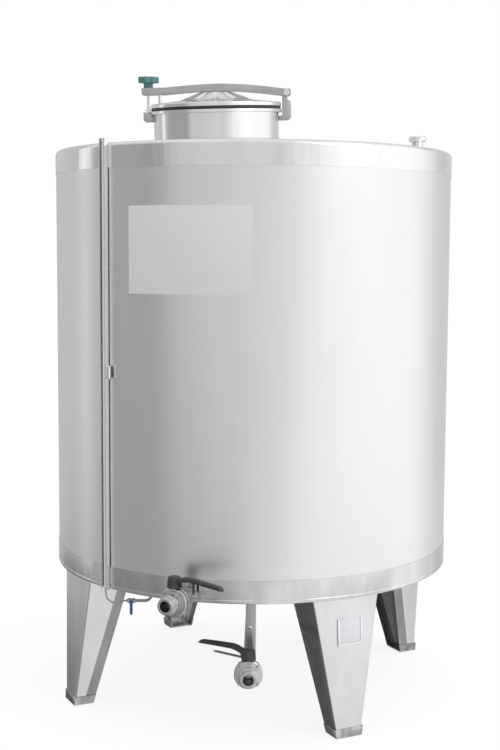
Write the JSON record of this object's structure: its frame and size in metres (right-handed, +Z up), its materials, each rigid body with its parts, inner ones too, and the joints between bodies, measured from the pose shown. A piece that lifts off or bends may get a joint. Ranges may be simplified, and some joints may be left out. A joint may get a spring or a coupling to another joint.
{
  "type": "bulk milk tank",
  "caption": "Upright insulated stainless milk storage tank on folded legs, with a clamped manway lid, a level gauge and butterfly outlet and drain valves.",
  "frame": {"origin": "centre of the outer box on the floor that the feet stand on", "axes": "+Z up, -Y to the front where the outlet and drain valves point, +X to the right seen from the front"},
  "size_m": [1.3036, 1.4752, 2.0051],
  "materials": {
    "brushed_steel": "satin ground stainless sheet",
    "polished_steel": "polished stainless",
    "insulation_foam": "rigid foam",
    "black_rubber": "matt",
    "black_plastic": "moulded, fine grain",
    "teal_plastic": "moulded",
    "blue_grip": "dipped grip",
    "clear_hose": "clear",
    "blank_plate": "satin, blank"
  },
  "bodies": {
    "tank": {"base_cover": "polished_steel", "clamp_lug": "brushed_steel", "drain_pipe": "brushed_steel", "drain_seal": "black_rubber", "drain_valve_front": "polished_steel", "drain_valve_rear": "polished_steel", "floor_insulation": "insulation_foam", "foot_shoe_1": "brushed_steel", "foot_shoe_2": "brushed_steel", "foot_shoe_3": "brushed_steel", "foot_shoe_4": "brushed_steel", "gauge_channel": "brushed_steel", "gauge_clip": "brushed_steel", "gauge_cock_body": "polished_steel", "gauge_hose": "clear_hose", "gauge_nipple": "brushed_steel", "gauge_tube": "clear_hose", "hinge_bracket": "brushed_steel", "hinge_pin": "polished_steel", "inner_vessel": "brushed_steel", "label_holder": "brushed_steel", "label_plate": "blank_plate", "leg_1": "brushed_steel", "leg_2": "brushed_steel", "leg_3": "brushed_steel", "leg_4": "brushed_steel", "leg_pad_1": "brushed_steel", "leg_pad_2": "brushed_steel", "leg_pad_3": "brushed_steel", "leg_pad_4": "brushed_steel", "manway_neck": "polished_steel", "neck_ring": "polished_steel", "outer_shell": "brushed_steel", "outlet_pipe": "brushed_steel", "outlet_seal": "black_rubber", "outlet_valve_front": "polished_steel", "outlet_valve_rear": "polished_steel", "roof_cover": "polished_steel", "roof_insulation": "insulation_foam", "sign_plate": "blank_plate", "vent_pipe": "brushed_steel", "wall_insulation": "insulation_foam"},
    "lid": {"manway_lid": "polished_steel", "lid_gasket": "black_rubber", "arm_bar_front": "brushed_steel", "arm_bar_back": "brushed_steel", "arm_block": "brushed_steel", "lid_stud": "polished_steel", "lid_guide_pin": "polished_steel"},
    "clamp": {"clamp_trunnion": "brushed_steel", "clamp_bolt": "polished_steel"},
    "knob": {"clamp_knob": "teal_plastic"},
    "vent_cap": {"vent_cap": "polished_steel"},
    "cock_lever": {"gauge_cock_lever": "blue_grip"},
    "outlet_lever": {"outlet_handle": "black_plastic", "outlet_disc": "polished_steel"},
    "outlet_trigger": {"outlet_trigger": "brushed_steel"},
    "drain_lever": {"drain_handle": "black_plastic", "drain_disc": "polished_steel"},
    "drain_trigger": {"drain_trigger": "brushed_steel"}
  },
  "joints": [
    {"name": "lid_hinge", "type": "hinge", "parent": "tank", "child": "lid", "pos_m": [0.0997, -0.05937, 1.95667], "axis": [0, 0.997, 0.0768], "range_deg": [0, 105]},
    {"name": "clamp_swing", "type": "hinge", "parent": "lid", "child": "clamp", "pos_m": [-0.33966, -0.0593, 1.95566], "axis": [0, 0.997, 0.0768], "range_deg": [0, 16]},
    {"name": "knob_turn", "type": "hinge", "parent": "clamp", "child": "knob", "pos_m": [-0.33966, -0.0593, 1.95566], "axis": [0.0011, -0.0768, 0.997], "continuous": true},
    {"name": "vent_cap_lift", "type": "slide", "parent": "tank", "child": "vent_cap", "axis": [0, 0, 1], "range_m": [0, 0.06]},
    {"name": "gauge_cock_turn", "type": "hinge", "parent": "tank", "child": "cock_lever", "pos_m": [-0.372, -0.39854, 0.385], "axis": [0, -1, 0], "range_deg": [0, 90]},
    {"name": "outlet_valve_turn", "type": "hinge", "parent": "tank", "child": "outlet_lever", "pos_m": [-0.23, -0.61124, 0.4455], "axis": [0, 0, -1], "range_deg": [0, 90]},
    {"name": "outlet_trigger_squeeze", "type": "hinge", "parent": "outlet_lever", "child": "outlet_trigger", "pos_m": [-0.20932, -0.6286, 0.4925], "axis": [-0.6428, -0.766, 0], "range_deg": [0, 8], "stiffness_Nm_per_rad": 0.5},
    {"name": "drain_valve_turn", "type": "hinge", "parent": "tank", "child": "drain_lever", "pos_m": [-0.015, -0.53424, 0.206], "axis": [0, 0, 1], "range_deg": [0, 90]},
    {"name": "drain_trigger_squeeze", "type": "hinge", "parent": "drain_lever", "child": "drain_trigger", "pos_m": [-0.03701, -0.51861, 0.253], "axis": [0.5791, 0.8153, 0], "range_deg": [0, 8], "stiffness_Nm_per_rad": 0.5}
  ]
}
